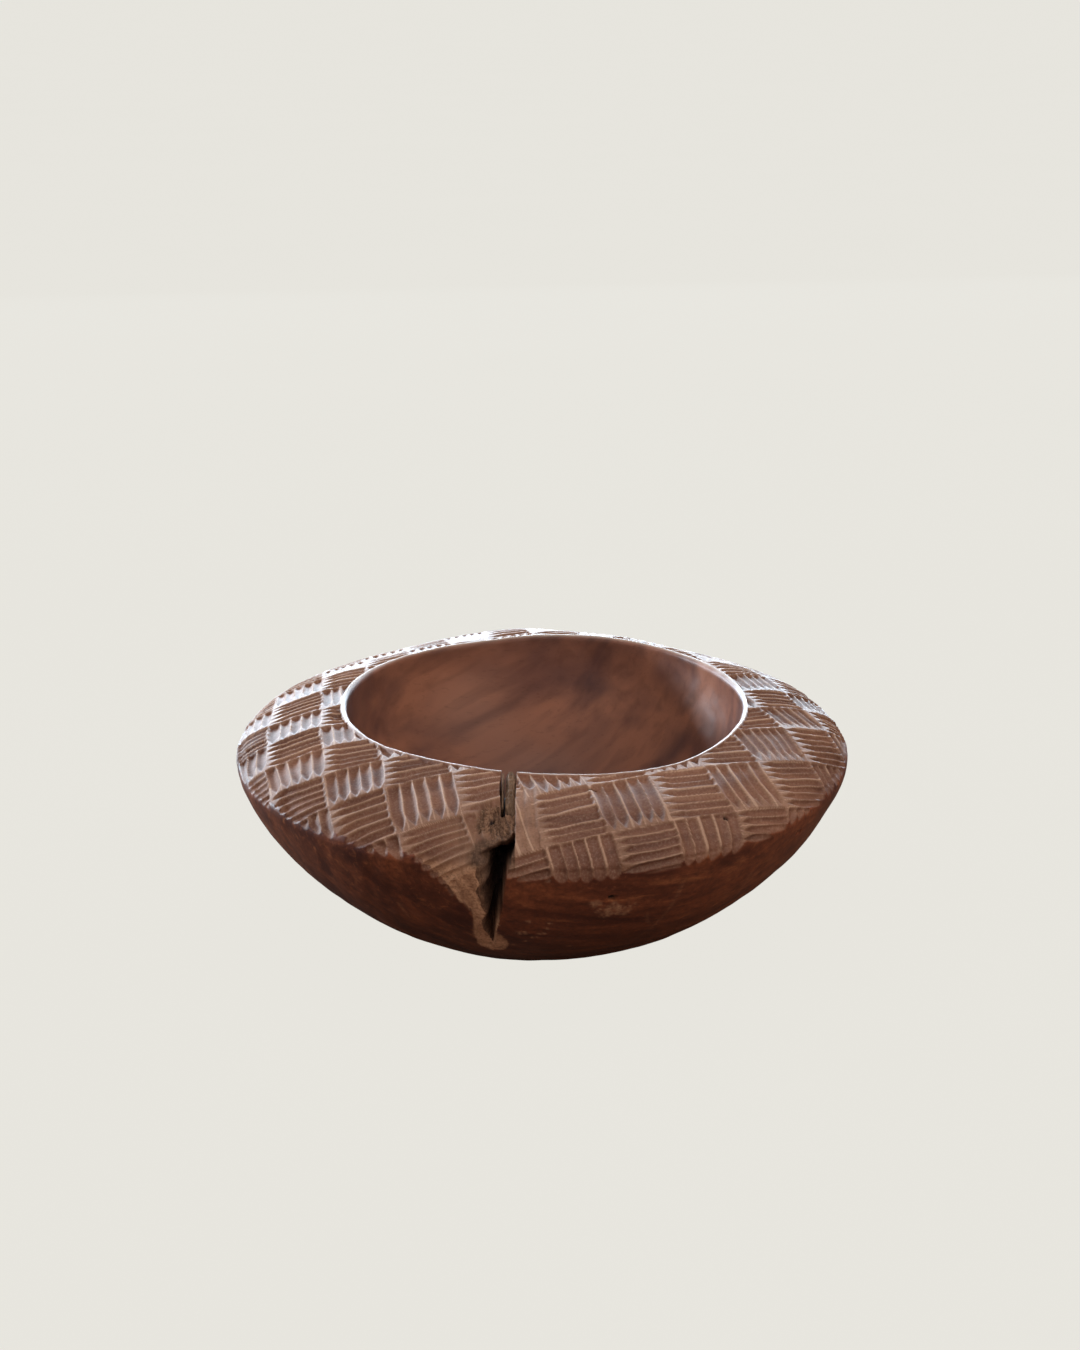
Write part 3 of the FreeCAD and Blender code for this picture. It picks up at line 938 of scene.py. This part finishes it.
# ---------------------------------------------------------------- pieces
def place_piece(piece, node, material):
    """Gives a piece its material and ties it to the frame."""
    piece.data.materials.append(material)
    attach(piece, "root")
    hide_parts(node)


bowl = make_bowl()
place_piece(bowl, "bowl_body", bowl_material())
strip = make_slab("dead_wood_in_split", WALL_X - 0.1, 4.5, STRIP_TOP, 3, 1.1)
place_piece(strip, "dead_wood_strip",
            dead_wood_material("strip_wood", (0.075, 0.045, 0.030), (0.27, 0.165, 0.105)))
splinter = make_slab("splinter_in_split", -16.9, 0.95, SPLINTER_TOP, 8, 0.5)
place_piece(splinter, "loose_splinter",
            dead_wood_material("splinter_wood", (0.08, 0.048, 0.032), (0.29, 0.18, 0.115)))


# ---------------------------------------------------------------- stage, lights and camera
def make_floor():
    """A large pale floor that the bowl stands on."""
    mesh = bpy.data.meshes.new("floor")
    reach = 40.0
    # Just below the foot, so that the two flat surfaces never coincide.
    level = -0.1 * MM
    corners = [(-reach, -reach, level), (reach, -reach, level), (reach, reach, level),
               (-reach, reach, level)]
    mesh.from_pydata(corners, [], [(0, 1, 2, 3)])
    floor = bpy.data.objects.new("floor", mesh)
    bpy.context.scene.collection.objects.link(floor)
    mesh.materials.append(floor_material())


def add_area_light(name, location, target, size, power, colour, spread=180):
    """A soft rectangular light aimed at a point."""
    data = bpy.data.lights.new(name, "AREA")
    data.shape = "RECTANGLE"
    data.size, data.size_y = size
    data.energy = power
    data.color = colour
    data.spread = math.radians(spread)
    light = bpy.data.objects.new(name, data)
    light.location = location
    aim = Vector(target) - Vector(location)
    light.rotation_euler = aim.to_track_quat("-Z", "Y").to_euler()
    bpy.context.scene.collection.objects.link(light)
    return light


def make_lights():
    """A wide window at the back, a weak beam from the left, soft fills from above, and a pale room."""
    bpy.context.scene.view_settings.view_transform = "Standard"
    world = bpy.data.worlds.new("room")
    bpy.context.scene.world = world
    world.use_nodes = True
    back = world.node_tree.nodes["Background"]
    back.inputs["Color"].default_value = (0.86, 0.85, 0.81, 1)
    back.inputs["Strength"].default_value = 0.16
    middle = (0, 0, 0.09)
    right_rim = (0.09, 0, 0.11)
    add_area_light("side_window", (-1.55, 0.70, 0.40), right_rim, (0.45, 0.25), 0.6, (0.80, 0.90, 1.0), 14)
    add_area_light("rear_daylight", (-0.25, 1.90, 0.50), middle, (3.6, 0.9), 55, (0.74, 0.86, 1.0))
    # The sky in the window is only seen in the polish, and the fills are never seen in it.
    sky = add_area_light("rear_sky", (-0.40, 1.95, 0.55), middle, (3.1, 1.15), 165, (0.66, 0.85, 1.0))
    sky.visible_diffuse = False
    fills = [add_area_light("skylight", (0.1, -0.1, 1.9), middle, (1.6, 1.6), 23, (1.0, 0.95, 0.90)),
             add_area_light("right_fill", (1.3, -1.0, 1.0), middle, (1.2, 1.0), 13, (1.0, 0.90, 0.80)),
             add_area_light("left_fill", (-0.8, -1.3, 0.9), middle, (1.2, 1.0), 6.5, (1.0, 0.93, 0.88))]
    for fill in fills:
        fill.visible_glossy = False


def make_camera():
    """The camera looks slightly down at the front of the bowl, which sits low in its view."""
    rise = math.radians(23.06)
    dip = math.radians(3.36)
    roll = math.radians(0.069)
    distance = 1.0
    middle = Vector((0, 0, 0.060))
    back = Vector((0, -math.cos(rise), math.sin(rise)))
    data = bpy.data.cameras.new("camera")
    data.sensor_fit = "VERTICAL"
    data.sensor_height = 36.0
    data.lens = 53.47
    camera = bpy.data.objects.new("camera", data)
    camera.location = middle + back * distance
    camera.rotation_euler = (math.pi / 2 - (rise - dip), 0, roll)
    bpy.context.scene.collection.objects.link(camera)
    bpy.context.scene.camera = camera


make_floor()
make_lights()
make_camera()
